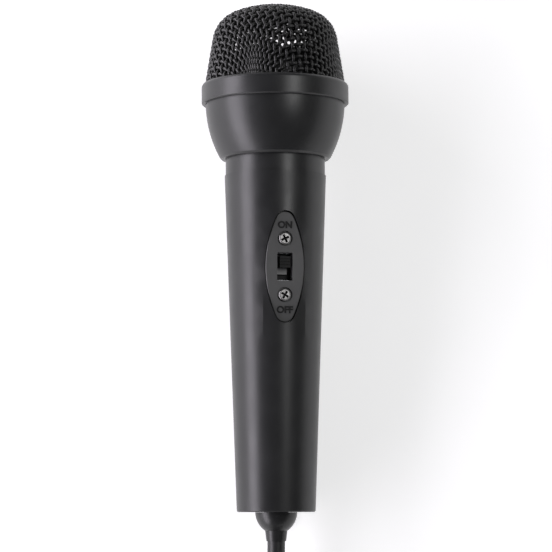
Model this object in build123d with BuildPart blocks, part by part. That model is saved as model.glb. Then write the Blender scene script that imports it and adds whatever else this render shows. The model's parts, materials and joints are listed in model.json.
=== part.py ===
from build123d import *
import os
from math import asin, atan2, cos, degrees, radians, sin, sqrt, tan

os.makedirs("parts", exist_ok=True)

# A wired karaoke microphone lying on its side: it rests on the rim of its tail and on the ring
# below the grille, so its axis rises towards the head. Heights h run along the axis from the tail
# face, radii r are measured from the axis. The head points to +Y, the floor is Z = 0, and the
# origin is under the middle of the microphone without its cord.

# Handle and head outline
tail_r = 13.4
handle_top_h, handle_top_r = 114.8, 17.6
handle_wall = 2.2
neck_r = 17.05
bowl_base_h, bowl_lip_r, bowl_lip_round = 120.6, 19.1, 0.7
bowl_mid_h, bowl_mid_r = 130.0, 22.55
ring_base_h, ring_top_h, ring_r = 139.6, 146.8, 25.3
bowl_top_r = 23.95
edge = 0.4

# Grille dome: a side that leans in, a shoulder arc and a flat crown arc, all tangent
dome_base_h, dome_base_r = 147.0, 23.94
dome_lean = radians(9.25)
shoulder_radius = 11.2
crown_radius, crown_top_h = 39.7, 174.05
dome_wall = 0.8
grille_rim_h = 143.1

# Switch, on a flat oval plate that is turned about the axis
plate_h, plate_turn, plate_sunk = 82.15, 12.0, 1.2
plate_length, plate_width, plate_thick, plate_end_r = 37.4, 13.2, 1.3, 3.3
plate_gap = 0.25
screw_pitch, screw_head_r, screw_r = 19.0, 2.1, 1.3
slot_length, slot_width = 9.45, 5.3
knob_length, knob_width, knob_rest = 3.8, 3.6, 1.6

# Cord and plug
cord_d = 6.0
cord_r = cord_d / 2
boot_ball_r, boot_ball_length, boot_end_h = 7.15, 6.3, -9.8
boot_sleeve_r, boot_tip_r = 3.8, 3.35
coil_inner_r, coil_outer_r, coil_height, coil_run = 15.0, 36.0, 21.6, 32.0
plug_r = 6.9
jack_r = 3.175

# The axis leans so that the tail rim and the ring's lower edge both touch the floor.
lean = atan2(ring_r - tail_r, ring_base_h)
tail_z = tail_r * cos(lean) - edge * sin(lean)
crown_centre_h = crown_top_h - crown_radius
front_y = crown_centre_h * cos(lean) + crown_radius
back_y = boot_end_h * cos(lean) - boot_tip_r * sin(lean)
tail_y = -(front_y + back_y) / 2
# mic: local X is radius, local Y runs along the axis and local Z points up out of the handle.
mic = Plane(origin=(0, tail_y, tail_z), x_dir=(1, 0, 0), z_dir=(0, -sin(lean), cos(lean)))
mic_axis = Axis(mic.origin, mic.y_dir)


def handle_radius(h):
    return tail_r + (handle_top_r - tail_r) * h / handle_top_h


def across(h):
    """The plane across the axis at height h, with its normal towards the head."""
    return Plane(origin=mic.from_local_coords((0, h, 0)), x_dir=mic.x_dir, z_dir=mic.y_dir)


def turned(*outline, mode=Mode.ADD):
    """Adds the solid that an outline of (r, h) points makes about the microphone's axis."""
    with BuildSketch(mic) as profile:
        with BuildLine():
            Polyline(*outline, close=True)
        make_face()
    revolve(profile.sketch, axis=mic_axis, mode=mode)


def ring_solid(inner_r, outer_r, low_h, high_h, mode=Mode.ADD):
    turned((inner_r, low_h), (outer_r, low_h), (outer_r, high_h), (inner_r, high_h), mode=mode)


def save(piece, name):
    piece.part.label = name
    export_step(piece.part, f"parts/{name}.step")


# ------------------------------------------------------------------ switch plane
# plate: origin on the top of the switch plate, local Y up the handle, local Z outwards.
cone = atan2(handle_top_r - tail_r, handle_top_h)
out_local = Vector(sin(radians(plate_turn)), 0, cos(radians(plate_turn)))
up_handle = mic.from_local_coords(out_local) - mic.origin
plate_origin = mic.from_local_coords(
    out_local * (handle_radius(plate_h) - plate_sunk) + Vector(0, plate_h, 0)
)
plate_normal = up_handle * cos(cone) - mic.y_dir * sin(cone)
plate_along = mic.y_dir * cos(cone) + up_handle * sin(cone)
plate = Plane(origin=plate_origin, x_dir=plate_along.cross(plate_normal), z_dir=plate_normal)


def oval(grow):
    """Adds the plate's pointed oval, made of two long arcs and two short ones, grown all round."""
    half_l, half_w, end_r = plate_length / 2 + grow, plate_width / 2 + grow, plate_end_r + grow
    side_r = (half_w**2 + (half_l - end_r) ** 2 - end_r**2) / (2 * (half_w - end_r))
    reach = Vector(side_r - half_w, half_l - end_r).normalized() * end_r
    join_x, join_y = reach.X, half_l - end_r + reach.Y
    with BuildLine() as outline:
        ThreePointArc((-join_x, join_y), (0, half_l), (join_x, join_y))
        ThreePointArc((join_x, join_y), (half_w, 0), (join_x, -join_y))
        ThreePointArc((join_x, -join_y), (0, -half_l), (-join_x, -join_y))
        ThreePointArc((-join_x, -join_y), (-half_w, 0), (-join_x, join_y))
    make_face(outline.edges())


screw_places = [(0, screw_pitch / 2), (0, -screw_pitch / 2)]
pad_thick = 1.0
frame_top = -(plate_thick + pad_thick)

# ------------------------------------------------------------------ handle
tail_thick = 2.6
socket_h, socket_r = 105.0, 15.2
cord_hole_r = 4.2
inner_tail_r = handle_radius(tail_thick) - handle_wall
inner_top_r = handle_radius(socket_h) - handle_wall
pad_length, pad_width, pad_height = plate_length + 5, 14.6, 1.6
slot_room, screw_room, cut_depth = 0.4, 0.2, 6

with BuildPart() as handle:
    turned(
        (cord_hole_r, 0), (tail_r - edge, 0), (tail_r, edge), (handle_top_r - edge / 2, handle_top_h),
        (socket_r, handle_top_h), (socket_r, socket_h), (inner_top_r, socket_h),
        (inner_tail_r, tail_thick), (cord_hole_r, tail_thick),
    )
    with BuildSketch(plate.offset(frame_top)):
        Rectangle(pad_width, pad_length)
    extrude(amount=pad_height)
    with BuildSketch(plate.offset(-plate_thick)):
        oval(plate_gap)
    extrude(amount=plate_thick + 4, mode=Mode.SUBTRACT)
    with BuildSketch(plate):
        Rectangle(slot_width + 2 * slot_room, slot_length + 2 * slot_room)
        with Locations(*screw_places):
            Circle(screw_r + screw_room)
    extrude(amount=-cut_depth, mode=Mode.SUBTRACT)
save(handle, "handle")

# ------------------------------------------------------------------ switch plate and screws
counterbore_r, counterbore_depth = 2.6, 0.7
plate_round, slot_round = 0.35, 0.4
with BuildPart() as switch_plate:
    with BuildSketch(plate.offset(-plate_thick)):
        oval(0)
    extrude(amount=plate_thick)
    fillet(switch_plate.faces().sort_by(Axis(plate.origin, plate.z_dir))[-1].edges(), radius=plate_round)
    with BuildSketch(plate):
        RectangleRounded(slot_width, slot_length, radius=slot_round)
    extrude(amount=-2 * plate_thick, mode=Mode.SUBTRACT)
    with Locations(*[plate.location * Location((x, y, 0)) for x, y in screw_places]):
        CounterBoreHole(radius=screw_r + screw_room, counter_bore_radius=counterbore_r,
                        counter_bore_depth=counterbore_depth, depth=2 * plate_thick)
save(switch_plate, "switch_plate")

screw_head, screw_round, screw_length, screw_fit = 1.0, 0.55, 5.0, 0.03
screw_turns = (25, 58)
recess_length, recess_width, recess_depth, recess_taper = 2.8, 0.75, 0.75, 12
with BuildPart() as plate_screws:
    with BuildSketch(plate.offset(-counterbore_depth)):
        with Locations(*screw_places):
            Circle(screw_head_r)
    extrude(amount=screw_head)
    top_rims = plate_screws.edges().group_by(Axis(plate.origin, plate.z_dir))[-1]
    fillet(top_rims, radius=screw_round)
    with BuildSketch(plate.offset(-counterbore_depth)):
        with Locations(*screw_places):
            Circle(screw_r - screw_fit)
    extrude(amount=-screw_length)
    for (x, y), turn in zip(screw_places, screw_turns):
        with BuildSketch(plate.offset(screw_head - counterbore_depth)):
            with Locations(Location((x, y, 0), (0, 0, turn))):
                Rectangle(recess_length, recess_width)
                Rectangle(recess_width, recess_length)
        extrude(amount=-recess_depth, taper=recess_taper, mode=Mode.SUBTRACT)
save(plate_screws, "plate_screws")

# ------------------------------------------------------------------ slide switch
frame_length, frame_width, frame_thick, frame_round = 25.4, 7.2, 0.6, 2.0
channel_length, channel_depth = 15.0, 6.4
frame_slot_length, frame_slot_width = 8.9, 5.0
with BuildPart() as switch_frame:
    with BuildSketch(plate.offset(frame_top)):
        RectangleRounded(frame_width, frame_length, radius=frame_round)
    extrude(amount=-frame_thick)
    with BuildSketch(plate.offset(frame_top - frame_thick)):
        for side in (-1, 1):
            with Locations((side * (frame_width - frame_thick) / 2, 0)):
                Rectangle(frame_thick, channel_length)
    extrude(amount=-channel_depth)
    with BuildSketch(plate.offset(frame_top)):
        Rectangle(frame_slot_width, frame_slot_length)
        with Locations(*screw_places):
            Circle(screw_r)
    extrude(amount=-2 * frame_thick, mode=Mode.SUBTRACT)
save(switch_frame, "switch_frame")

channel_gap = frame_width - 2 * frame_thick
base_thick = 1.6
base_top = frame_top - frame_thick - channel_depth + base_thick
terminal_places = [(0, -3.0), (0, 0), (0, 3.0)]
terminal_width, terminal_thick, terminal_length = 1.2, 0.5, 3.6
pad_r, pad_rise = 0.9, 0.3
with BuildPart() as switch_base:
    with BuildSketch(plate.offset(base_top)):
        Rectangle(channel_gap, channel_length)
        with Locations(*terminal_places):
            Rectangle(terminal_width, terminal_thick, mode=Mode.SUBTRACT)
    extrude(amount=-base_thick)
save(switch_base, "switch_base")

with BuildPart() as switch_terminals:
    with BuildSketch(plate.offset(base_top)):
        with Locations(*terminal_places):
            Rectangle(terminal_width, terminal_thick)
    extrude(amount=-terminal_length)
    with BuildSketch(plate.offset(base_top)):
        with Locations(*terminal_places):
            Circle(pad_r)
    extrude(amount=pad_rise)
save(switch_terminals, "switch_terminals")

carrier_top, carrier_bottom = frame_top - frame_thick - 1.3, base_top + 0.9
carrier_length, carrier_y, carrier_gap = 9.6, 0.8, 0.15
tab_top = frame_top - frame_thick - 0.15
tab_width, tab_length, tab_x = 3.6, 2.2, -0.55
knob_top, knob_x = 0.1, 0.1
ridges, ridge_depth, ridge_gap = 4, 0.4, 0.42
knob_low_y = knob_rest - knob_length / 2
with BuildPart() as switch_knob:
    with BuildSketch(plate.offset(carrier_bottom)):
        with Locations((0, carrier_y)):
            Rectangle(channel_gap - 2 * carrier_gap, carrier_length)
    extrude(amount=carrier_top - carrier_bottom)
    with BuildSketch(plate.offset(carrier_top)):
        with Locations((knob_x, knob_rest)):
            Rectangle(knob_width, knob_length)
    extrude(amount=knob_top - carrier_top)
    with BuildSketch(plate.offset(carrier_top)):
        with Locations((tab_x, knob_low_y - tab_length / 2)):
            Rectangle(tab_width, tab_length)
    extrude(amount=tab_top - carrier_top)
    with BuildSketch(plate.offset(knob_top)):
        for row in range(ridges - 1):
            with Locations((knob_x, knob_low_y + knob_length * (row + 1) / ridges)):
                Rectangle(knob_width, ridge_gap)
    extrude(amount=-ridge_depth, mode=Mode.SUBTRACT)
save(switch_knob, "switch_knob")

contact_width, contact_length, contact_thick = 2.0, 5.0, 0.3
with BuildPart() as switch_contact:
    with BuildSketch(plate.offset(carrier_bottom)):
        with Locations((0, knob_rest)):
            Rectangle(contact_width, contact_length)
    extrude(amount=-contact_thick)
save(switch_contact, "switch_contact")

# ------------------------------------------------------------------ cord entry
flange_r, flange_h, entry_r, boot_gap = 6.4, 2.0, 4.1, 0.05
boot_bore_r = cord_r + boot_gap
ball_mid = (6.15, -3.7)
with BuildPart() as cord_boot:
    with BuildSketch(mic):
        with BuildLine():
            Line((boot_bore_r, boot_end_h), (boot_tip_r, boot_end_h))
            Line((boot_tip_r, boot_end_h), (boot_sleeve_r, -boot_ball_length))
            ThreePointArc((boot_sleeve_r, -boot_ball_length), ball_mid, (boot_ball_r, -boot_gap))
            Polyline((boot_ball_r, -boot_gap), (entry_r, -boot_gap), (entry_r, tail_thick + boot_gap),
                     (flange_r, tail_thick + boot_gap), (flange_r, tail_thick + flange_h),
                     (boot_bore_r, tail_thick + flange_h), (boot_bore_r, boot_end_h))
        make_face()
    revolve(axis=mic_axis)
save(cord_boot, "cord_boot")

stub_end_h = 14.0
clamp_h, clamp_length, clamp_wall, clamp_gap = tail_thick + flange_h + 0.4, 4.6, 0.8, 0.02
with BuildPart() as cord_stub:
    ring_solid(0, cord_r, boot_end_h, stub_end_h)
save(cord_stub, "cord_stub")

with BuildPart() as cord_clamp:
    ring_solid(cord_r + clamp_gap, cord_r + clamp_wall, clamp_h, clamp_h + clamp_length)
save(cord_clamp, "cord_clamp")

# ------------------------------------------------------------------ wiring inside the handle
wire_r, wire_bend = 0.55, 2.5
core_x, core_start_h = 1.2, stub_end_h + 0.05


def wire(*points):
    """Adds a wire along local (x, h, up) points, with rounded corners."""
    with BuildLine() as path:
        FilletPolyline(*[mic.from_local_coords(point) for point in points], radius=wire_bend)
    with BuildSketch(Plane(path.line @ 0, z_dir=path.line % 0)) as section:
        Circle(wire_r)
    sweep(section.sketch, path=path.line)


with BuildPart() as cord_cores:
    wire((-core_x, core_start_h, 0), (-core_x, 34, 0), (-4.6, 52, -1.5), (-4.6, 72, -1.5))
    wire((core_x, core_start_h, 0), (core_x, 34, 0), (4.8, 52, -1.5), (4.8, 72, -1.5))
save(cord_cores, "cord_cores")

with BuildPart() as capsule_leads:
    wire((-4.6, 90, -1.5), (-4.6, 108, -1.5), (-3.0, 116, 0), (-3.0, 124.5, 0))
    wire((4.8, 90, -1.5), (4.8, 108, -1.5), (3.0, 116, 0), (3.0, 124.5, 0))
save(capsule_leads, "capsule_leads")

# ------------------------------------------------------------------ capsule and its carrier
carrier_top_h, carrier_bore_r, thread_r = 127.6, 13.0, 16.0
carrier_base_h, carrier_fit_r = socket_h + 0.2, socket_r - 0.1
with BuildPart() as capsule_carrier:
    turned(
        (carrier_bore_r, carrier_base_h), (carrier_fit_r, carrier_base_h),
        (carrier_fit_r, handle_top_h), (neck_r, handle_top_h), (neck_r, bowl_base_h),
        (thread_r, bowl_base_h), (thread_r, carrier_top_h), (carrier_bore_r, carrier_top_h),
    )
save(capsule_carrier, "capsule_carrier")

shock_top_h, shock_inner_r, shock_outer_r = 131.0, 11.5, 15.6
with BuildPart() as shock_ring:
    ring_solid(shock_inner_r, shock_outer_r, carrier_top_h, shock_top_h)
save(shock_ring, "shock_ring")

basket_front_h, basket_r, basket_wall = 147.0, 18.5, 1.4
basket_base_r, basket_waist_h = 15.4, 136.0
with BuildPart() as capsule_basket:
    turned(
        (0, shock_top_h), (basket_base_r, shock_top_h), (basket_r, basket_waist_h),
        (basket_r, basket_front_h), (basket_r - basket_wall, basket_front_h),
        (basket_r - basket_wall, basket_waist_h + 0.6), (basket_base_r - 0.6, shock_top_h + basket_wall),
        (0, shock_top_h + basket_wall),
    )
save(capsule_basket, "capsule_basket")

yoke_base_h = shock_top_h + basket_wall
yoke_top_h, yoke_r, yoke_wall, plate_stack_r = 142.2, 10.2, 1.6, 7.4
with BuildPart() as magnet_yoke:
    turned(
        (0, yoke_base_h), (yoke_r, yoke_base_h), (yoke_r, yoke_top_h),
        (yoke_r - yoke_wall, yoke_top_h), (yoke_r - yoke_wall, yoke_base_h + yoke_wall),
        (0, yoke_base_h + yoke_wall),
    )
save(magnet_yoke, "magnet_yoke")

magnet_top_h = 139.4
with BuildPart() as magnet:
    ring_solid(0, plate_stack_r - 0.2, yoke_base_h + yoke_wall, magnet_top_h)
save(magnet, "magnet")

with BuildPart() as pole_plate:
    ring_solid(0, plate_stack_r, magnet_top_h, yoke_top_h)
save(pole_plate, "pole_plate")

with BuildPart() as voice_coil:
    ring_solid(plate_stack_r + 0.3, yoke_r - yoke_wall - 0.3, magnet_top_h + 0.4, basket_front_h)
save(voice_coil, "voice_coil")

film, film_dome_r, film_rise = 0.3, 8.3, 1.9
dome_sphere_r = (film_dome_r**2 + film_rise**2) / (2 * film_rise)
dome_centre_h = basket_front_h + film + film_rise - dome_sphere_r
dome_half_turn = asin(film_dome_r / dome_sphere_r)


def on_film(sphere_r, turn):
    return sphere_r * sin(turn), dome_centre_h + sphere_r * cos(turn)


with BuildPart() as diaphragm:
    ring_solid(film_dome_r - film, basket_r, basket_front_h, basket_front_h + film)
    under_r = dome_sphere_r - film
    with BuildSketch(mic):
        with BuildLine():
            ThreePointArc(on_film(dome_sphere_r, 0), on_film(dome_sphere_r, dome_half_turn / 2),
                          on_film(dome_sphere_r, dome_half_turn))
            Line(on_film(dome_sphere_r, dome_half_turn), on_film(under_r, dome_half_turn))
            ThreePointArc(on_film(under_r, dome_half_turn), on_film(under_r, dome_half_turn / 2),
                          on_film(under_r, 0))
            Line(on_film(under_r, 0), on_film(dome_sphere_r, 0))
        make_face()
    revolve(axis=mic_axis)
save(diaphragm, "diaphragm")

cover_back_h, cover_front_h, cover_wall = basket_front_h + film, 151.8, 1.2
cover_inner_r, cover_hole_r = basket_r - 1.4, 1.5
with BuildPart() as capsule_cover:
    turned(
        (cover_inner_r, cover_back_h), (basket_r, cover_back_h), (basket_r, cover_front_h),
        (0, cover_front_h), (0, cover_front_h - cover_wall),
        (cover_inner_r, cover_front_h - cover_wall),
    )
    with BuildSketch(across(cover_front_h)):
        for count, radius in ((6, 6.0), (12, 12.5)):
            with PolarLocations(radius, count):
                Circle(cover_hole_r)
        Circle(cover_hole_r)
    extrude(amount=-1.5 * cover_wall, mode=Mode.SUBTRACT)
save(capsule_cover, "capsule_cover")

foam_top_h, foam_r, foam_round = 156.4, 19.2, 1.5
with BuildPart() as foam_disc:
    ring_solid(0, foam_r, cover_front_h, foam_top_h)
    fillet(foam_disc.edges().sort_by(Axis(mic.origin, mic.y_dir))[-1], radius=foam_round)
save(foam_disc, "foam_disc")

board_h, board_length, board_width, board_round = 129.4, 16, 8, 1
lug_x, lug_width, lug_thick, lug_length = 3.0, 1.8, 0.5, 4.7
with BuildPart() as capsule_terminals:
    with BuildSketch(across(board_h)):
        RectangleRounded(board_length, board_width, radius=board_round)
    extrude(amount=shock_top_h - board_h)
    with BuildSketch(across(board_h)):
        with Locations((-lug_x, 0), (lug_x, 0)):
            Rectangle(lug_width, lug_thick)
    extrude(amount=-lug_length)
save(capsule_terminals, "capsule_terminals")

# ------------------------------------------------------------------ head cover
spigot_r, spigot_top_h, spigot_wall = 22.6, 143.0, 1.2
bowl_bore_r, spigot_base_h = thread_r + 0.05, 138.0
cavity_r, cavity_h = 20.2, 130.0
with BuildPart() as head_bowl:
    with BuildSketch(mic):
        with BuildLine():
            Polyline((bowl_bore_r, bowl_base_h), (bowl_lip_r - bowl_lip_round, bowl_base_h),
                     (bowl_lip_r, bowl_base_h + bowl_lip_round))
            ThreePointArc((bowl_lip_r, bowl_base_h + bowl_lip_round), (bowl_mid_r, bowl_mid_h),
                          (bowl_top_r, ring_base_h))
            Polyline((bowl_top_r, ring_base_h), (spigot_r, ring_base_h), (spigot_r, spigot_top_h),
                     (spigot_r - spigot_wall, spigot_top_h), (spigot_r - spigot_wall, spigot_base_h),
                     (cavity_r, cavity_h), (bowl_bore_r, carrier_top_h), (bowl_bore_r, bowl_base_h))
        make_face()
    revolve(axis=mic_axis)
save(head_bowl, "head_bowl")

ring_round, ring_gap = 1.5, 0.05
ring_shoulder_r, ring_lip_h = ring_r - ring_round + 0.25, ring_top_h - 0.3
ring_inner_r, ring_bore_r = spigot_r + ring_gap, dome_base_r + ring_gap
ring_step_h = grille_rim_h - ring_gap
with BuildPart() as grille_ring:
    with BuildSketch(mic):
        with BuildLine():
            Polyline((ring_inner_r, ring_base_h), (ring_r - edge, ring_base_h),
                     (ring_r, ring_base_h + edge), (ring_r, ring_top_h - ring_round))
            RadiusArc((ring_r, ring_top_h - ring_round), (ring_shoulder_r, ring_top_h), -ring_round)
            Polyline((ring_shoulder_r, ring_top_h), (ring_bore_r, ring_lip_h),
                     (ring_bore_r, ring_step_h), (ring_inner_r, ring_step_h), (ring_inner_r, ring_base_h))
        make_face()
    revolve(axis=mic_axis)
save(grille_ring, "grille_ring")


def dome_points(inset):
    """The dome's side foot, the two tangent points of its shoulder and the tops of its arcs."""
    side = Vector(-sin(dome_lean), cos(dome_lean))
    inward = Vector(-cos(dome_lean), -sin(dome_lean))
    crown = Vector(0, crown_centre_h)
    foot = Vector(dome_base_r, dome_base_h)
    offset = foot + inward * shoulder_radius - crown
    along = -offset.dot(side) + sqrt(
        offset.dot(side) ** 2 - offset.dot(offset) + (crown_radius - shoulder_radius) ** 2
    )
    centre = foot + side * along + inward * shoulder_radius
    to_crown = (centre - crown).normalized()
    shoulder = shoulder_radius - inset
    low = centre - inward * shoulder
    high = centre + to_crown * shoulder
    middle = centre + (to_crown - inward).normalized() * shoulder
    crown_mid = crown + (to_crown + Vector(0, 1)).normalized() * (crown_radius - inset)
    return foot + inward * inset, low, middle, high, crown_mid, Vector(0, crown_top_h - inset)


with BuildPart() as grille:
    with BuildSketch(mic):
        with BuildLine():
            o_foot, o_low, o_middle, o_high, o_crown, o_top = dome_points(0)
            i_foot, i_low, i_middle, i_high, i_crown, i_top = dome_points(dome_wall)
            Line((dome_base_r, grille_rim_h), o_foot)
            Line(o_foot, o_low)
            ThreePointArc(o_low, o_middle, o_high)
            ThreePointArc(o_high, o_crown, o_top)
            Line(o_top, i_top)
            ThreePointArc(i_top, i_crown, i_high)
            ThreePointArc(i_high, i_middle, i_low)
            Line(i_low, i_foot)
            Polyline(i_foot, (i_foot.X, grille_rim_h), (dome_base_r, grille_rim_h))
        make_face()
    revolve(axis=mic_axis)
save(grille, "grille")

# ------------------------------------------------------------------ cord
# The lead leaves the boot along the axis, sinks to the floor and joins the outer turn of a hank:
# a coil drawn out along Y, with straight sides of coil_run between its two round ends.
boot_end = mic.from_local_coords((0, boot_end_h, 0))
first_run = 14.0
lead_route = [
    boot_end,
    boot_end - mic.y_dir * first_run,
    Vector(-2.5, boot_end.Y - 30.0, 7.0),
    Vector(-9.5, boot_end.Y - 42.0, 4.4),
    Vector(-17.5, boot_end.Y - 51.5, cord_r),
]
join_r = coil_outer_r - cord_r
round_end = lead_route[-1] + Vector(join_r, -join_r) * sin(radians(45)) - Vector(0, 0, cord_r)
coil_centre = round_end - Vector(0, coil_run / 2)
# The far end leaves the top of the hank, rises round its end and enters the plug.
plug_axis_z = coil_height + plug_r + 0.1
end_route = [
    coil_centre + Vector(*offset)
    for offset in (
        (11.5, 43.7, 18.6), (1.7, 45.7, 19.8), (-8.2, 44.2, 22.2), (-16.9, 39.3, 24.8),
        (-23.4, 31.7, 27.1), (-26.9, 22.3, plug_axis_z), (-26.9, 12.3, plug_axis_z),
    )
]


bend_share = 0.45


def cord_tube(route, name):
    """Sweeps the cord along straight runs joined by tangent arcs, and prints the arcs' radii."""
    runs = [after - before for before, after in zip(route, route[1:])]
    radii = []
    for before, after in zip(runs, runs[1:]):
        turn = radians(before.get_angle(after))
        radii.append(bend_share * min(before.length, after.length) / tan(turn / 2))
    print(name, "radii", [round(radius, 1) for radius in radii])
    with BuildLine() as path:
        FilletPolyline(*route, radius=radii)
    with BuildSketch(Plane(path.line @ 0, z_dir=path.line % 0)) as section:
        Circle(cord_r)
    sweep(section.sketch, path=path.line)
    print(name, "length", round(path.wires()[0].length, 1))


with BuildPart() as cord:
    cord_tube(lead_route, "cord")
save(cord, "cord")

with BuildPart() as cord_end:
    cord_tube(end_route, "cord_end")
save(cord_end, "cord_end")

coil_plane = Plane(origin=coil_centre)
coil_round = 2.6
with BuildPart() as cord_coil:
    with BuildSketch(coil_plane):
        SlotCenterToCenter(coil_run, 2 * coil_outer_r, rotation=90)
        SlotCenterToCenter(coil_run, 2 * coil_inner_r, rotation=90, mode=Mode.SUBTRACT)
    extrude(amount=coil_height)
    fillet(cord_coil.faces().filter_by(Axis.Z).edges(), radius=coil_round)
save(cord_coil, "cord_coil")

tie_thick, tie_width, tie_outer_round, tie_inner_round = 1.2, 8.0, 3.0, 2.0
tie_mid_r, bundle = (coil_inner_r + coil_outer_r) / 2, coil_outer_r - coil_inner_r
with BuildPart() as coil_tie:
    tie_origin = coil_plane.from_local_coords((tie_mid_r, tie_width / 2, 0))
    with BuildSketch(Plane(origin=tie_origin, x_dir=(1, 0, 0), z_dir=(0, -1, 0))):
        with Locations((0, coil_height / 2 + tie_thick / 2)):
            RectangleRounded(bundle + 2 * tie_thick, coil_height + tie_thick, radius=tie_outer_round)
            RectangleRounded(bundle, coil_height - tie_thick, radius=tie_inner_round, mode=Mode.SUBTRACT)
    extrude(amount=tie_width)
save(coil_tie, "coil_tie")

# ------------------------------------------------------------------ plug
# The plug lies on the hank and points to -Y. plug: local X is radius, local Y runs to the tip.
plug_start = end_route[-1]
plug = Plane(origin=plug_start, x_dir=(1, 0, 0), z_dir=(0, 0, -1))
plug_axis = Axis(plug.origin, plug.y_dir)
boot_length, body_length, sleeve_length = 12.0, 24.0, 21.3
insulator_length, tip_length = 1.2, 8.6
sleeve_at = boot_length + body_length
insulator_at = sleeve_at + sleeve_length
tip_at = insulator_at + insulator_length
boot_start, boot_start_r, boot_head_r = 0.02, cord_r + 0.6, cord_r + 1.5
grooves, groove_pitch, groove_width, groove_start = 4, 2.4, 1.0, 2.2
groove_reach = 1.4
shell_start_r, shell_taper, shell_edge = cord_r + 2.2, 4.0, 1.0
tip_waist_r, tip_end_r = 2.0, 0.6


def plug_turned(*outline):
    with BuildSketch(plug) as profile:
        with BuildLine():
            Polyline(*outline, close=True)
        make_face()
    revolve(profile.sketch, axis=plug_axis)


with BuildPart() as plug_boot:
    plug_turned((0, boot_start), (boot_start_r, boot_start), (boot_head_r, boot_length), (0, boot_length))
    for groove in range(grooves):
        with BuildSketch(plug) as notch:
            with Locations((boot_head_r + 0.1, groove_start + groove_pitch * groove)):
                Rectangle(groove_reach, groove_width)
        revolve(notch.sketch, axis=plug_axis, mode=Mode.SUBTRACT)
save(plug_boot, "plug_boot")

with BuildPart() as plug_body:
    plug_turned((0, boot_length), (shell_start_r, boot_length), (plug_r, boot_length + shell_taper),
                (plug_r, sleeve_at - shell_edge), (plug_r - shell_edge, sleeve_at), (0, sleeve_at))
save(plug_body, "plug_body")

with BuildPart() as plug_sleeve:
    plug_turned((0, sleeve_at), (jack_r, sleeve_at), (jack_r, insulator_at), (0, insulator_at))
save(plug_sleeve, "plug_sleeve")

with BuildPart() as plug_insulator:
    plug_turned((0, insulator_at), (jack_r, insulator_at), (jack_r, tip_at), (0, tip_at))
save(plug_insulator, "plug_insulator")

with BuildPart() as plug_tip:
    plug_turned((0, tip_at), (jack_r, tip_at), (jack_r, tip_at + 1.2), (tip_waist_r, tip_at + 3.0),
                (jack_r, tip_at + 4.6), (tip_end_r, tip_at + tip_length), (0, tip_at + tip_length))
save(plug_tip, "plug_tip")

print("lean", round(degrees(lean), 3), "tail", mic.origin, "plate", plate.origin, plate.y_dir)
print("coil centre", coil_centre, "plug sleeve middle",
      plug.from_local_coords((0, sleeve_at + sleeve_length / 2, 0)))
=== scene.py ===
import json
from math import asin, atan2, cos, floor, hypot, pi, radians, sin

import bpy
from mathutils import Matrix, Vector


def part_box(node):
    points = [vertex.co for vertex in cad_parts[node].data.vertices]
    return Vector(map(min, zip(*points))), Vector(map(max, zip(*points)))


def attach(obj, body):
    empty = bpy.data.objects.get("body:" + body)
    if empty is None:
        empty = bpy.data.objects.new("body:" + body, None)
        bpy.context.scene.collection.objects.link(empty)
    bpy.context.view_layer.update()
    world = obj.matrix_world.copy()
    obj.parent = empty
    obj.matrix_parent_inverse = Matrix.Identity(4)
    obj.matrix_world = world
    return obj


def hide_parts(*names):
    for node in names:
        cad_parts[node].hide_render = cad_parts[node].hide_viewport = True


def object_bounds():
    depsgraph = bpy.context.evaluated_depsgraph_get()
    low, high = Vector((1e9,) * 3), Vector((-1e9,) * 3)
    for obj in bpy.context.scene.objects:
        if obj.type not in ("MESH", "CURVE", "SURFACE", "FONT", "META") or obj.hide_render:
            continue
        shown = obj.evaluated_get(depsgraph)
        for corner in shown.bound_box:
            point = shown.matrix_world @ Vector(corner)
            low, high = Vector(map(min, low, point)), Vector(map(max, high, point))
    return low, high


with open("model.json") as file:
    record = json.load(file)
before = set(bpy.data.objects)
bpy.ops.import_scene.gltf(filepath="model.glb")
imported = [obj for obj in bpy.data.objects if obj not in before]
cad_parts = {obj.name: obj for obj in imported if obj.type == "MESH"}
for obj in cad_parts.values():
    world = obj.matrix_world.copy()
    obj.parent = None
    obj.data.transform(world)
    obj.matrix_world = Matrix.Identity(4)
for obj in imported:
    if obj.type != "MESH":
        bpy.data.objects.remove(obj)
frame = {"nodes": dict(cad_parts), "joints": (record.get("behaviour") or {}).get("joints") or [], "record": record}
cad_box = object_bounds()

MM = 0.001
BODY = "microphone"
nodes = frame["nodes"]
record = frame["record"]
collection = bpy.context.scene.collection

# ---------------------------------------------------------------- the microphone's own axes
# Heights h run along the axis from the tail face, and radii r are measured from the axis.
clip = next(mount for mount in record["mounts"] if mount["name"] == "clip_zone")
CLIP_H = 55 * MM
along = Vector(clip["axis"]).normalized()
tail = Vector(clip["pos_m"]) - along * CLIP_H
side = Vector((1, 0, 0))
up = side.cross(along)


def mic_point(x, h, z):
    return tail + side * x + along * h + up * z


def extent(node, direction):
    """Lowest and highest place of a CAD node along a direction."""
    places = [vertex.co.dot(direction) for vertex in nodes[node].data.vertices]
    return min(places), max(places)


# ---------------------------------------------------------------- camera
LENS = 160.5
EYE_ABOVE = 838 * MM
AIM_H = 80.4 * MM
AIM_X = 0.15 * MM
ROLL = radians(0.16)

camera_data = bpy.data.cameras.new("camera")
camera_data.lens = LENS
camera_data.clip_start = 0.05
camera = bpy.data.objects.new("camera", camera_data)
collection.objects.link(camera)
eye = mic_point(AIM_X, 0, EYE_ABOVE)
backward = (eye - mic_point(AIM_X, AIM_H, 0)).normalized()
picture_x = (along * cos(ROLL) + side * sin(ROLL)).cross(backward).normalized()
picture_y = backward.cross(picture_x)
facing = Matrix((picture_x, picture_y, backward)).transposed().to_4x4()
camera.matrix_world = Matrix.Translation(eye) @ facing
bpy.context.scene.camera = camera


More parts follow.
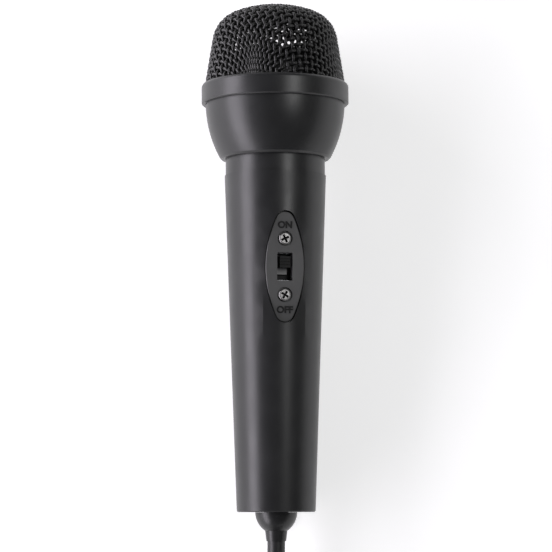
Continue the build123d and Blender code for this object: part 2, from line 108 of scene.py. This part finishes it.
# ---------------------------------------------------------------- the switch plate's own axes
PLATE_TURN = radians(12)
slide = frame["joints"][0]
plate_y = -Vector(slide["axis"]).normalized()
plate_out = up * cos(PLATE_TURN) + side * sin(PLATE_TURN)
plate_z = (plate_out - plate_y * plate_out.dot(plate_y)).normalized()
plate_x = plate_y.cross(plate_z)
plate_top = extent("switch_plate", plate_z)[1]
plate_centre = (plate_x * sum(extent("switch_plate", plate_x)) / 2
                + plate_y * sum(extent("switch_plate", plate_y)) / 2 + plate_z * plate_top)


# ---------------------------------------------------------------- materials
# A noise's values lie mostly between these two.
NOISE_LOW, NOISE_HIGH = 0.3, 0.7


class Shade:
    """A principled material with small helpers for procedural detail in the object's own space."""

    def __init__(self, name):
        self.material = bpy.data.materials.new(name)
        self.material.use_nodes = True
        self.tree = self.material.node_tree
        self.shader = self.tree.nodes["Principled BSDF"]
        self.place = self.node("TexCoord").outputs["Object"]
        self.relief = None

    def node(self, kind, **settings):
        made = self.tree.nodes.new("ShaderNode" + kind)
        for key, value in settings.items():
            setattr(made, key, value)
        return made

    def link(self, source, target):
        self.tree.links.new(source, target)

    def set(self, **values):
        for key, value in values.items():
            self.shader.inputs[key.replace("_", " ")].default_value = value

    def stretched(self, scale):
        mapping = self.node("Mapping")
        mapping.inputs["Scale"].default_value = scale
        self.link(self.place, mapping.inputs["Vector"])
        return mapping.outputs["Vector"]

    def noise(self, scale, detail=3.0, roughness=0.55, place=None):
        made = self.node("TexNoise")
        made.inputs["Scale"].default_value = scale
        made.inputs["Detail"].default_value = detail
        made.inputs["Roughness"].default_value = roughness
        self.link(place or self.place, made.inputs["Vector"])
        return made.outputs["Fac"]

    def cells(self, scale):
        made = self.node("TexVoronoi")
        made.inputs["Scale"].default_value = scale
        self.link(self.place, made.inputs["Vector"])
        return made.outputs["Distance"]

    def ramp(self, value, *stops):
        """Base colour from a value, by stops of (place, colour)."""
        made = self.node("ValToRGB")
        while len(made.color_ramp.elements) < len(stops):
            made.color_ramp.elements.new(0.5)
        for element, (place, colour) in zip(made.color_ramp.elements, stops):
            element.position = place
            element.color = (*colour, 1)
        self.link(value, made.inputs["Fac"])
        self.link(made.outputs["Color"], self.shader.inputs["Base Color"])

    def gloss(self, value, low, high):
        made = self.node("MapRange")
        made.inputs["From Min"].default_value = NOISE_LOW
        made.inputs["From Max"].default_value = NOISE_HIGH
        made.inputs["To Min"].default_value = low
        made.inputs["To Max"].default_value = high
        self.link(value, made.inputs["Value"])
        self.link(made.outputs["Result"], self.shader.inputs["Roughness"])

    def bump(self, height, strength, distance):
        made = self.node("Bump")
        made.inputs["Strength"].default_value = strength
        made.inputs["Distance"].default_value = distance
        self.link(height, made.inputs["Height"])
        if self.relief:
            self.link(self.relief, made.inputs["Normal"])
        self.relief = made.outputs["Normal"]
        self.link(self.relief, self.shader.inputs["Normal"])

    def level(self, direction):
        """How far a point lies along a direction."""
        dot = self.node("VectorMath", operation="DOT_PRODUCT")
        dot.inputs[1].default_value = direction
        self.link(self.place, dot.inputs[0])
        return dot.outputs["Value"]

    def along(self, direction):
        """A vector that only changes along one direction, for turned or brushed lines."""
        joined = self.node("CombineXYZ")
        self.link(self.level(direction), joined.inputs["X"])
        return joined.outputs["Vector"]

    def below(self, direction, start, end, colour):
        """Turns the base colour to another, from one level along a direction to a lower one."""
        spread = self.node("MapRange")
        self.link(self.level(direction), spread.inputs["Value"])
        spread.inputs["From Min"].default_value = start
        spread.inputs["From Max"].default_value = end
        mixed = self.node("Mix", data_type="RGBA")
        # A Mix node lists its factors, then its pairs of numbers, vectors and colours.
        factor, first, second = mixed.inputs[0], mixed.inputs[6], mixed.inputs[7]
        target = self.shader.inputs["Base Color"]
        self.link(spread.outputs["Result"], factor)
        self.link(target.links[0].from_socket, first)
        second.default_value = (*colour, 1)
        self.link(mixed.outputs[2], target)


def grey(level, warmth=0.0):
    return (level * (1 + warmth), level, level * (1 - warmth))


def moulded(name, level, rough, grain=2600, grain_depth=0.012 * MM, warmth=-0.03):
    """Moulded plastic: faint cloudy colour, a fine spark-eroded grain and uneven gloss."""
    shade = Shade(name)
    darker, lighter = grey(level * 0.82, warmth), grey(level * 1.18, warmth)
    shade.ramp(shade.noise(55, 4), (NOISE_LOW, darker), (NOISE_HIGH, lighter))
    shade.gloss(shade.noise(130, 5), rough - 0.035, rough + 0.035)
    shade.bump(shade.noise(grain, 2), 0.5, grain_depth)
    shade.bump(shade.noise(95, 2), 0.25, 0.05 * MM)
    return shade


def metal(name, colour, rough, grain=900, turned=None):
    """Bare or plated metal with fine tool marks, along a turning axis where one is given."""
    shade = Shade(name)
    shade.set(Metallic=1.0)
    darker = tuple(part * 0.72 for part in colour)
    shade.ramp(shade.noise(420, 5), (NOISE_LOW, darker), (NOISE_HIGH, colour))
    shade.gloss(shade.noise(700, 4), rough - 0.06, rough + 0.08)
    marks = shade.along(turned) if turned else None
    shade.bump(shade.noise(grain * 3 if turned else grain, 3, place=marks), 0.35, 0.02 * MM)
    return shade


def make_materials():
    made = {}
    body = moulded("body_plastic", 0.0145, 0.36)
    streaks = body.stretched((900, 28, 900))
    body.bump(body.noise(1.0, 3, place=streaks), 0.12, 0.01 * MM)
    made["body_plastic"] = body

    made["plate_plastic"] = moulded("plate_plastic", 0.074, 0.5, grain=3400,
                                    grain_depth=0.02 * MM, warmth=0.0)
    # The knob is black and the step of the slider beside its foot is grey; what lies deeper is painted near-black
    # as painted shade in the slot.
    knob = moulded("knob_plastic", 0.009, 0.5, warmth=0.0)
    knob.set(Specular_IOR_Level=0.2)
    knob.below(plate_z, plate_top - 2.2 * MM, plate_top - 2.8 * MM, grey(0.34))
    # Painted shade: below about 3.5 mm under the plate's top the colour turns near-black.
    knob.below(plate_z, plate_top - 3.4 * MM, plate_top - 3.6 * MM, grey(0.004))
    made["knob_plastic"] = knob
    made["plug_plastic"] = moulded("plug_plastic", 0.013, 0.38)
    made["capsule_plastic"] = moulded("capsule_plastic", 0.02, 0.45)
    made["phenolic"] = moulded("phenolic", 0.05, 0.55, warmth=0.35)
    made["film"] = moulded("film", 0.32, 0.2, warmth=0.05)
    made["magnet_ferrite"] = moulded("magnet_ferrite", 0.03, 0.6)
    made["wire_insulation"] = moulded("wire_insulation", 0.12, 0.45, warmth=0.5)
    made["plug_ring"] = moulded("plug_ring", 0.01, 0.4)

    # The recess in a screw's head and the head's lower edge are painted dark, as painted shade.
    screw = metal("screw_steel", (0.34, 0.335, 0.33), 0.36)
    head_top = extent("plate_screws", plate_z)[1]
    screw.below(plate_z, head_top - 0.22 * MM, head_top - 0.36 * MM, grey(0.006))
    made["screw_steel"] = screw
    made["frame_steel"] = metal("frame_steel", (0.42, 0.42, 0.43), 0.45)
    made["yoke_steel"] = metal("yoke_steel", (0.4, 0.4, 0.42), 0.4)
    made["terminal_brass"] = metal("terminal_brass", (0.5, 0.4, 0.22), 0.45)
    made["coil_copper"] = metal("coil_copper", (0.75, 0.35, 0.18), 0.35, turned=tuple(along))
    made["plug_nickel"] = metal("plug_nickel", (0.74, 0.72, 0.68), 0.2, turned=(0, 1, 0))

    made["boot_rubber"] = moulded("boot_rubber", 0.012, 0.34, grain=1800)
    made["shock_rubber"] = moulded("shock_rubber", 0.02, 0.6, grain=1500)
    jacket = moulded("cord_jacket", 0.013, 0.42, grain=1500, grain_depth=0.03 * MM)
    jacket.bump(jacket.noise(260, 2), 0.3, 0.12 * MM)
    made["cord_jacket"] = jacket

    made["grille_paint"] = moulded("grille_paint", 0.012, 0.3, grain=3800,
                                   grain_depth=0.015 * MM, warmth=0.0)

    foam = Shade("foam")
    foam.ramp(foam.cells(1500), (0.05, grey(0.006)), (0.6, grey(0.022)))
    foam.gloss(foam.noise(500), 0.85, 0.98)
    foam.bump(foam.cells(1500), 0.9, 0.3 * MM)
    made["foam"] = foam

    strap = Shade("tie_plastic")
    strap.ramp(strap.noise(2200, 4), (0.35, grey(0.01)), (0.7, grey(0.045)))
    strap.gloss(strap.noise(700), 0.75, 0.92)
    strap.bump(strap.cells(2400), 0.8, 0.18 * MM)
    strap.bump(strap.noise(3000, 4), 0.6, 0.15 * MM)
    made["tie_plastic"] = strap
    return {slot: shade.material for slot, shade in made.items()}


materials = make_materials()
for subpart in record["subparts"]:
    nodes[subpart["node"]].material_slots[0].material = materials[subpart["material_slot"]]


def piece(name, vertices, faces, slot):
    """A smooth mesh object with one of the record's materials, riding on the microphone."""
    mesh = bpy.data.meshes.new(name)
    mesh.from_pydata([tuple(vertex) for vertex in vertices], [], faces)
    mesh.polygons.foreach_set("use_smooth", [True] * len(mesh.polygons))
    mesh.materials.append(materials[slot])
    mesh.update()
    made = bpy.data.objects.new(name, mesh)
    collection.objects.link(made)
    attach(made, BODY)
    return made


# ---------------------------------------------------------------- cord
# The route of part.py: the lead leaves the boot, sinks to the floor, winds into a hank with two
# round ends and straight sides, and its far end rises from the hank's top and enters the plug.
# A turn has END_STEPS steps of control points round each end and two points on each straight side.
# The hank is three turns wide and four high, and CELL_RADII (mm) gives each full
# turn's radius at the round ends, layer by layer. Between the SHIFT angles a turn moves over to
# the next radius or climbs to the next layer, and there the bundle is humped to make room.
CORD_R = 3 * MM
lead_route = [
    (0, -0.0915223, 0.0124853), (0, -0.1054717, 0.0112963), (-0.0025, -0.1215223, 0.007),
    (-0.0095, -0.1335223, 0.0044), (-0.0175, -0.1430223, 0.003),
]
coil_centre = Vector((0.0058345, -0.182357, 0))
end_offsets = [
    (0.0115, 0.0437, 0.0186), (0.0017, 0.0457, 0.0198), (-0.0082, 0.0442, 0.0222),
    (-0.0169, 0.0393, 0.0248), (-0.0234, 0.0317, 0.0271), (-0.0269, 0.0223, 0.0286),
    (-0.0269, 0.0123, 0.0286),
]
HALF_RUN = 16 * MM
END_STEPS = 8
END_STEP = 180 / END_STEPS
FIRST_STATION, LAST_STATION = 7, 2
FULL_TURNS, LAYER_TURNS = 11, 3
CELL_RADII = (33, 27, 21, 18, 24, 30) * 2
OUTER_CELL_FROM = 25
LAYER_Z, LAYER_STEP = 3 * MM, 5.2 * MM
SHIFT_START, SHIFT_END = 235.0, 345.0
SHIFT_HUMP, SHIFT_REACH = 1.3 * MM, 85.0
CLIMB_IN, CLIMB_OUT = -3.0, 4.0
# On the right straight side the turns rise a little, to leave room for the tie under them.
TIE_LIFT, TIE_REACH, TIE_SIDE_COS = 1.1 * MM, 32 * MM, 0.3


def smooth_step(t):
    t = max(0.0, min(1.0, t))
    return t * t * (3 - 2 * t)


def turn_stations():
    """One turn of the hank as (angle, place along Y, whether it is inside a round end)."""
    ends = [(END_STEP * step, HALF_RUN, 0 < step < END_STEPS) for step in range(END_STEPS + 1)]
    left = [(180.0, HALF_RUN / 3, False), (180.0, -HALF_RUN / 3, False)]
    far = [(180 + angle, -HALF_RUN, inside) for angle, _, inside in ends]
    right = [(360.0, -HALF_RUN / 3, False), (360.0, HALF_RUN / 3, False)]
    return ends + left + far + right


def coil_points():
    """Control points of the turns, pushed out in the round ends because the curve cuts corners."""
    outward = 1 / (0.75 + 0.25 * cos(radians(END_STEP)))
    stations = turn_stations()
    per_turn = len(stations)
    points = []
    for index in range(FIRST_STATION, FULL_TURNS * per_turn + LAST_STATION + 1):
        angle, y, inside = stations[index % per_turn]
        passed = index // per_turn + (angle - SHIFT_START) / 360
        turn = floor(passed)
        shift = smooth_step((passed - turn) * 360 / (SHIFT_END - SHIFT_START))
        cell, last = max(turn, 0), len(CELL_RADII) - 1
        after = min(cell + 1, last) if turn >= 0 else 0
        radius = CELL_RADII[cell] * (1 - shift) + CELL_RADII[after] * shift
        layer, next_layer = cell // LAYER_TURNS, after // LAYER_TURNS
        if layer != next_layer:
            climb = CLIMB_OUT if CELL_RADII[after] > OUTER_CELL_FROM else CLIMB_IN
            radius += climb * sin(pi * shift)
        away = abs((angle - (SHIFT_START + SHIFT_END) / 2 + 180) % 360 - 180)
        hump = 1 - smooth_step(away / SHIFT_REACH) if y < 0 else 0
        level = layer * (1 - shift) + next_layer * shift
        height = LAYER_Z + (LAYER_STEP + SHIFT_HUMP * hump) * level
        if cos(radians(angle)) > TIE_SIDE_COS:
            from_tie = abs(y + radius * MM * sin(radians(angle)))
            height += TIE_LIFT * (1 - smooth_step(from_tie / TIE_REACH))
        reach = radius * MM * (outward if inside else 1)
        flat = radians(angle)
        points.append(coil_centre + Vector((cos(flat) * reach, y + sin(flat) * reach, height)))
    return points


def make_cord():
    points = [Vector(point) for point in lead_route] + coil_points()
    points += [coil_centre + Vector(offset) for offset in end_offsets]
    curve = bpy.data.curves.new("lead", "CURVE")
    curve.dimensions = "3D"
    spline = curve.splines.new("NURBS")
    spline.points.add(len(points) - 1)
    for control, point in zip(spline.points, points):
        control.co = (*point, 1)
    spline.order_u = 3
    spline.use_endpoint_u = True
    curve.resolution_u = 5
    curve.bevel_depth = CORD_R
    curve.bevel_resolution = 5
    curve.use_fill_caps = True
    curve.materials.append(materials["cord_jacket"])
    cord = bpy.data.objects.new("lead", curve)
    collection.objects.link(cord)
    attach(cord, BODY)
    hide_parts("cord", "cord_coil", "cord_end")
    return cord


cord = make_cord()


# ---------------------------------------------------------------- coil tie
TIE_WIDTH, TIE_THICK = 8 * MM, 1.0 * MM
TIE_HALF, TIE_CORNER = 10.9 * MM, 5 * MM
LAP_START, LAP_END, LAP_STEPS, LAP_RISE = -5.5 * MM, 6.2 * MM, 5, 1.05 * MM
# The strap's cross-section: places across its width and through its thickness, in half sizes.
STRAP_EDGES = ((-1, 1), (-0.9, 1.12), (0.9, 1.12), (1, 1), (1, -1), (0.9, -1), (-0.9, -1), (-1, -1))


def rounded_loop(half_w, low, high, corner, steps=8):
    """Points (out, z) clockwise round a rectangle with rounded corners, from the middle of its top."""
    points = [(0.0, high)]
    corners = ((half_w, high, 90), (half_w, low, 0), (-half_w, low, -90), (-half_w, high, -180))
    for cx, cz, start in corners:
        sx = 1 if cx > 0 else -1
        sz = -1 if cz == high else 1
        for step in range(steps + 1):
            a = radians(start - 90 * step / steps)
            points.append((cx - sx * corner + corner * cos(a), cz + sz * corner + corner * sin(a)))
    return points


def make_tie():
    """A hook-and-loop strap round the bundle, its tail lapped over its own top."""
    low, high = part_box("coil_tie")
    centre = Vector(((low.x + high.x) / 2, (low.y + high.y) / 2, 0))
    layers = len(CELL_RADII) // LAYER_TURNS
    bundle_top = LAYER_Z + (layers - 1) * LAYER_STEP + TIE_LIFT + CORD_R
    top = bundle_top + TIE_THICK / 2
    path = rounded_loop(TIE_HALF + TIE_THICK / 2, TIE_LIFT - TIE_THICK / 2, top, TIE_CORNER)
    lap = [(LAP_START + (LAP_END - LAP_START) * step / LAP_STEPS, top + LAP_RISE)
           for step in range(LAP_STEPS + 1)]
    vertices, faces = [], []

    def strip(points):
        start, ring, last = len(vertices), len(STRAP_EDGES), len(points) - 1
        for index, (x, z) in enumerate(points):
            ahead, behind = points[min(index + 1, last)], points[max(index - 1, 0)]
            run = Vector((ahead[0] - behind[0], ahead[1] - behind[1])).normalized()
            normal = Vector((-run.y, run.x)) * TIE_THICK / 2
            for width, through in STRAP_EDGES:
                out, height = Vector((x, z)) + normal * through
                vertices.append(centre + Vector((out, width * TIE_WIDTH / 2, height)))
        for index in range(last):
            for corner in range(ring):
                a = start + index * ring + corner
                b = start + index * ring + (corner + 1) % ring
                faces.append((a, b, b + ring, a + ring))
        faces.append(tuple(start + corner for corner in reversed(range(ring))))
        faces.append(tuple(start + last * ring + corner for corner in range(ring)))

    strip(path)
    strip(lap)
    strap = piece("cord_strap", vertices, faces, "tie_plastic")
    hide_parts("coil_tie")
    return strap


tie = make_tie()


# ---------------------------------------------------------------- grille: woven wire
WEAVE_PITCH = 2.2 * MM
WIRE_R = 0.55 * MM
CRIMP = 0.46 * MM
WEAVE_OUTSET = 0.2 * MM
NEWTON_STEPS, NEWTON_PROBE, NEWTON_DONE = 12, 1e-6, 1e-8
WEAVE_TURN = radians(27)
WIRE_STEPS, WIRE_SIDES = 6, 8
CROWN_R, SHOULDER_R = 39.7 * MM, 11.2 * MM
SIDE_LEAN = radians(9.25)
FOOT_H, RIM_H = 147 * MM, 143.6 * MM

grille_low, grille_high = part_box("grille")
dome_r = (grille_high.x - grille_low.x) / 2
crown_h = (grille_high.y - CROWN_R - tail.y) / along.y
side_turn = pi / 2 - SIDE_LEAN
crown_turn = asin((dome_r * cos(SIDE_LEAN) + (FOOT_H - crown_h) * sin(SIDE_LEAN) - SHOULDER_R)
                  / (CROWN_R - SHOULDER_R)) - SIDE_LEAN
shoulder_centre = (sin(crown_turn) * (CROWN_R - SHOULDER_R),
                   crown_h + cos(crown_turn) * (CROWN_R - SHOULDER_R))
weave_depth = WIRE_R + CRIMP - WEAVE_OUTSET
weave_crown, weave_shoulder = CROWN_R - weave_depth, SHOULDER_R - weave_depth
crown_run = weave_crown * crown_turn
shoulder_run = crown_run + weave_shoulder * (side_turn - crown_turn)


def dome_at(run):
    """Radius, height and outward angle on the weave's middle surface, run along it from the apex."""
    if run < crown_run:
        angle = run / weave_crown
        return weave_crown * sin(angle), crown_h + weave_crown * cos(angle), angle
    angle = min(side_turn, crown_turn + (run - crown_run) / weave_shoulder)
    rest = max(0.0, run - shoulder_run)
    return (shoulder_centre[0] + weave_shoulder * sin(angle) + rest * sin(SIDE_LEAN),
            shoulder_centre[1] + weave_shoulder * cos(angle) - rest * cos(SIDE_LEAN), angle)


def on_dome(a, b):
    """Place and outward normal of the point whose run along the dome is the vector (a, b)."""
    run = hypot(a, b)
    radius, height, angle = dome_at(run)
    turn = atan2(b, a) + WEAVE_TURN
    out = side * sin(turn) + up * cos(turn)
    return tail + along * height + out * radius, along * cos(angle) + out * sin(angle)


def crossing(near_a, near_b, guess):
    """The point of the dome one pitch from each of two neighbours, by Newton's method."""
    a, b = guess
    step = NEWTON_PROBE

    def misses(a, b):
        place = on_dome(a, b)[0]
        return (place - near_a).length - WEAVE_PITCH, (place - near_b).length - WEAVE_PITCH

    for _ in range(NEWTON_STEPS):
        f, g = misses(a, b)
        fa, ga = misses(a + step, b)
        fb, gb = misses(a, b + step)
        fa, ga, fb, gb = (fa - f) / step, (ga - g) / step, (fb - f) / step, (gb - g) / step
        det = fa * gb - fb * ga
        if abs(det) < 1e-9:
            break
        da, db = (f * gb - g * fb) / det, (g * fa - f * ga) / det
        size = hypot(da, db)
        limit = min(1.0, WEAVE_PITCH / 2 / size) if size else 1.0
        a, b = a - da * limit, b - db * limit
        if size < NEWTON_DONE:
            break
    return a, b


def weave_nodes():
    """The crossings of a net of square cells draped over the dome, for one quarter of it."""
    count = int(shoulder_run / WEAVE_PITCH) + 16
    net = {(0, 0): (0.0, 0.0)}
    for i in range(1, count):
        net[i, 0] = (i * WEAVE_PITCH, 0.0)
        net[0, i] = (0.0, i * WEAVE_PITCH)
    for i in range(1, count):
        for j in range(1, count):
            left, below, corner = net.get((i - 1, j)), net.get((i, j - 1)), net.get((i - 1, j - 1))
            if not (left and below and corner):
                continue
            guess = (left[0] + below[0] - corner[0], left[1] + below[1] - corner[1])
            point = crossing(on_dome(*left)[0], on_dome(*below)[0], guess)
            if dome_at(hypot(*point))[1] > RIM_H - 2 * WEAVE_PITCH:
                net[i, j] = point
    return {key: value for key, value in net.items() if dome_at(hypot(*value))[1] > RIM_H}


def wire_line(crossings):
    """A smooth line through a wire's crimped crossings, with the surface normal at each point."""
    line = []
    last = len(crossings) - 1
    for index in range(last):
        window = [crossings[max(0, min(last, index + offset))] for offset in (-1, 0, 1, 2)]
        for step in range(WIRE_STEPS):
            t = step / WIRE_STEPS
            weights = (-t**3 + 2 * t**2 - t, 3 * t**3 - 5 * t**2 + 2,
                       -3 * t**3 + 4 * t**2 + t, t**3 - t**2)
            place = sum((point * weight / 2 for (point, _), weight in zip(window, weights)), Vector())
            line.append((place, window[1][1].lerp(window[2][1], t)))
    line.append(crossings[last])
    return line


def make_weave(name, family, net):
    """One family of the grille's parallel wires, each going over and under the other family's."""
    reach = max(i for i, _ in net)
    vertices, faces = [], []
    for row in range(-reach, reach + 1):
        crossings = []
        for column in range(-reach, reach + 1):
            quarter = (abs(column), abs(row)) if family else (abs(row), abs(column))
            if quarter not in net:
                continue
            a, b = net[quarter]
            flip_a, flip_b = (column, row) if family else (row, column)
            place, normal = on_dome(a if flip_a >= 0 else -a, b if flip_b >= 0 else -b)
            over = CRIMP if (row + column + family) % 2 else -CRIMP
            crossings.append((place + normal * over, normal))
        if len(crossings) < 3:
            continue
        line = wire_line(crossings)
        start = len(vertices)
        for index, (place, normal) in enumerate(line):
            ahead = line[min(index + 1, len(line) - 1)][0]
            behind = line[max(index - 1, 0)][0]
            run = (ahead - behind).normalized()
            across = run.cross(normal).normalized()
            rise = across.cross(run)
            for corner in range(WIRE_SIDES):
                angle = 2 * pi * corner / WIRE_SIDES
                vertices.append(place + (across * cos(angle) + rise * sin(angle)) * WIRE_R)
        for index in range(len(line) - 1):
            for corner in range(WIRE_SIDES):
                a = start + index * WIRE_SIDES + corner
                b = start + index * WIRE_SIDES + (corner + 1) % WIRE_SIDES
                faces.append((a, b, b + WIRE_SIDES, a + WIRE_SIDES))
        faces.append(tuple(start + corner for corner in reversed(range(WIRE_SIDES))))
        end = start + (len(line) - 1) * WIRE_SIDES
        faces.append(tuple(end + corner for corner in range(WIRE_SIDES)))
    wires = piece(name, vertices, faces, "grille_paint")
    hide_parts("grille")
    return wires


weave_net = weave_nodes()
make_weave("grille_wires_warp", 0, weave_net)
make_weave("grille_wires_weft", 1, weave_net)


# ---------------------------------------------------------------- lettering on the switch plate
LETTER_HEIGHT, LETTER_RISE, CAP_SHARE = 2.2 * MM, 0.12 * MM, 0.7
LETTER_BOLD, LETTER_EDGE = 0.09 * MM, 0.04 * MM
ON_AT, OFF_AT = 14.0 * MM, -14.6 * MM


def make_word(word, place):
    """A raised word on the switch plate, its middle at a place along the plate."""
    text = bpy.data.curves.new("word", "FONT")
    text.body = word
    text.align_x, text.align_y = "CENTER", "CENTER"
    text.size = LETTER_HEIGHT / CAP_SHARE
    text.extrude = LETTER_RISE
    text.offset = LETTER_BOLD
    text.bevel_depth = LETTER_EDGE
    text.bevel_resolution = 1
    source = bpy.data.objects.new("word", text)
    mesh = bpy.data.meshes.new_from_object(source)
    frame_of_plate = Matrix((plate_x, plate_y, plate_z)).transposed().to_4x4()
    mesh.transform(Matrix.Translation(plate_centre + plate_y * place) @ frame_of_plate)
    bpy.data.objects.remove(source)
    mesh.name = f"letters_{word.lower()}"
    mesh.materials.clear()
    mesh.materials.append(materials["knob_plastic"])
    letters = bpy.data.objects.new(mesh.name, mesh)
    collection.objects.link(letters)
    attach(letters, BODY)


make_word("ON", ON_AT)
make_word("OFF", OFF_AT)


# ---------------------------------------------------------------- floor and light
FLOOR_R, WALL_R, WALL_H = 1.5, 2.1, 0.45
FLOOR_DROP = 0.1 * MM
FLAT_RINGS, WALL_STEPS, FLOOR_SIDES = (0.3, 0.8), 12, 96


def make_stage():
    """A pale round floor whose edge curves up into a low wall."""
    rings = [(radius, 0.0) for radius in (*FLAT_RINGS, FLOOR_R)]
    for step in range(1, WALL_STEPS + 1):
        angle = pi / 2 * step / WALL_STEPS
        rings.append((FLOOR_R + (WALL_R - FLOOR_R) * sin(angle), WALL_H * (1 - cos(angle))))
    sides, floor_z = FLOOR_SIDES, cad_box[0].z - FLOOR_DROP
    vertices = [(0, 0, floor_z)]
    faces = []
    for index, (radius, height) in enumerate(rings):
        for corner in range(sides):
            angle = 2 * pi * corner / sides
            vertices.append((radius * cos(angle), radius * sin(angle), floor_z + height))
        for corner in range(sides):
            a, b = 1 + index * sides + corner, 1 + index * sides + (corner + 1) % sides
            faces.append((0, a, b) if index == 0 else (a - sides, a, b, b - sides))
    mesh = bpy.data.meshes.new("floor")
    mesh.from_pydata(vertices, [], faces)
    mesh.polygons.foreach_set("use_smooth", [True] * len(mesh.polygons))
    paper = Shade("backdrop_paper")
    paper.ramp(paper.noise(30, 4), (0.3, grey(0.84)), (0.7, grey(0.87)))
    paper.gloss(paper.noise(60), 0.85, 0.95)
    paper.set(Emission_Color=(1, 1, 1, 1), Emission_Strength=0.55, Specular_IOR_Level=0.0)
    mesh.materials.append(paper.material)
    stage = bpy.data.objects.new("floor", mesh)
    collection.objects.link(stage)


def softbox(name, place, aim, width, length, radiance, tint=(1, 1, 1)):
    """A rectangular area light of a given radiance, its length along Y."""
    light = bpy.data.lights.new(name, "AREA")
    light.shape = "RECTANGLE"
    light.size, light.size_y = width, length
    light.energy = radiance * pi * width * length
    light.color = tint
    lamp = bpy.data.objects.new(name, light)
    collection.objects.link(lamp)
    forward = (Vector(aim) - Vector(place)).normalized()
    beside = Vector((0, 1, 0)).cross(-forward).normalized()
    lamp.matrix_world = (Matrix.Translation(place)
                         @ Matrix((beside, (-forward).cross(beside), -forward)).transposed().to_4x4())
    lamp.visible_camera = False


make_stage()
softbox("left_softbox", (-0.58, -0.12, 0.26), (0, -0.12, 0.02), 0.3, 1.5, 5.8, (1.0, 0.955, 1.04))
softbox("top_strip", (0.39, 0.15, 0.73), (0, 0.15, 0.02), 0.18, 0.4, 7.0)

world = bpy.data.worlds.new("studio")
world.use_nodes = True
world.node_tree.nodes["Background"].inputs["Color"].default_value = (0.1, 0.1, 0.105, 1)
bpy.context.scene.world = world
bpy.context.scene.view_settings.view_transform = "Standard"
